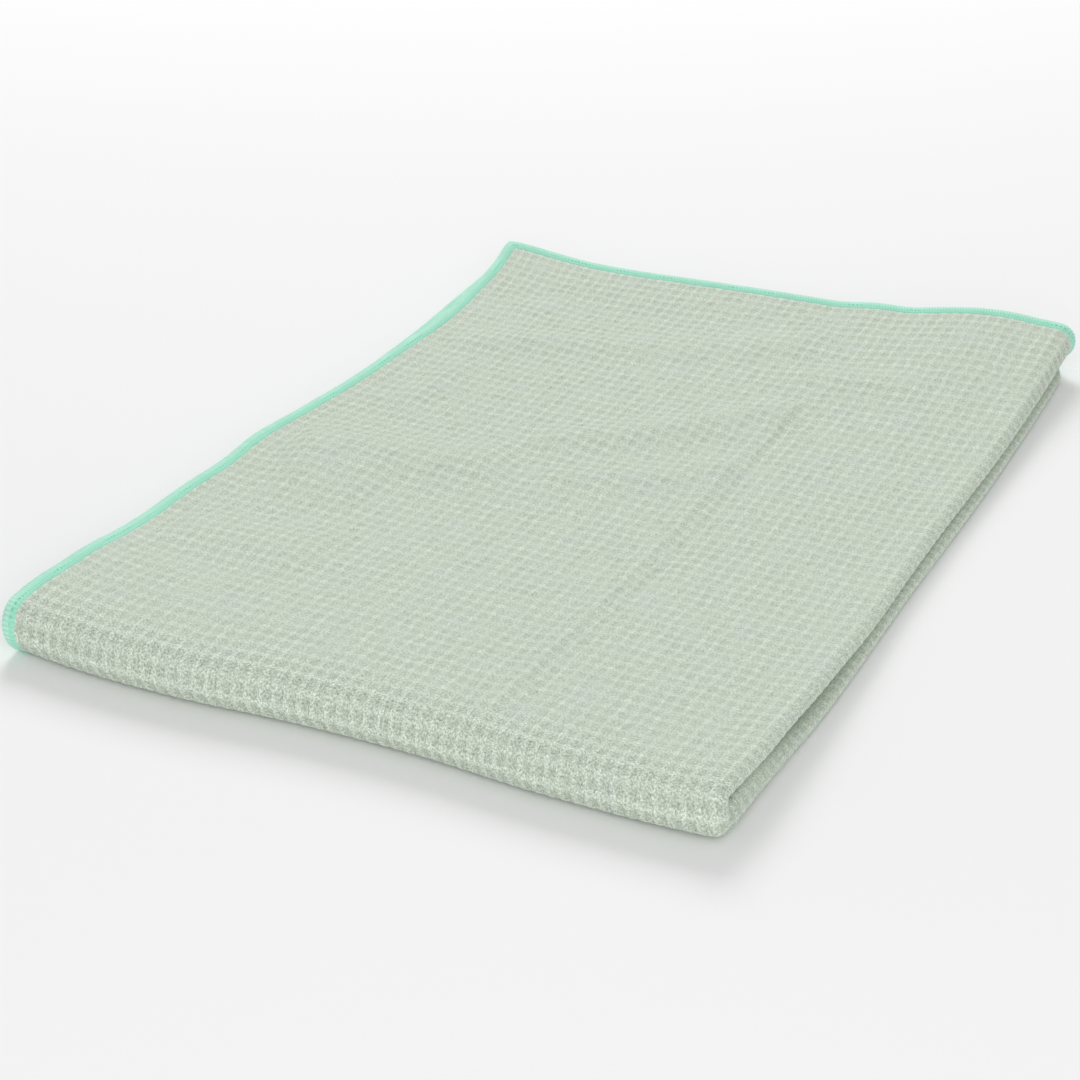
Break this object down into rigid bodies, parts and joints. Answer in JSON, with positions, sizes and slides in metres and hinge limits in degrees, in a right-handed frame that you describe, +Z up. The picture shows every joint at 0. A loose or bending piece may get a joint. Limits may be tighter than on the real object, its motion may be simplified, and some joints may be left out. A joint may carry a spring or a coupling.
{
  "type": "yoga towel",
  "caption": "Grey-green waffle-weave yoga towel, folded in half both ways, with a mint overlocked edge all round",
  "frame": {"origin": "middle of the folded towel's footprint, on the surface that it lies on", "axes": "+Y from the thick front fold to the cut edges at the back, +X from the cut edges on the left to the folded rolls on the right, +Z up through the layers"},
  "size_m": [0.255, 0.3616, 0.0212],
  "materials": {
    "waffle_cloth": "matt waffle weave, grey-green",
    "overlock_thread": "soft mint thread, close overlock stitches"
  },
  "bodies": {
    "root": {"towel_cloth": "waffle_cloth", "overlock_edge": "overlock_thread"}
  },
  "joints": []
}
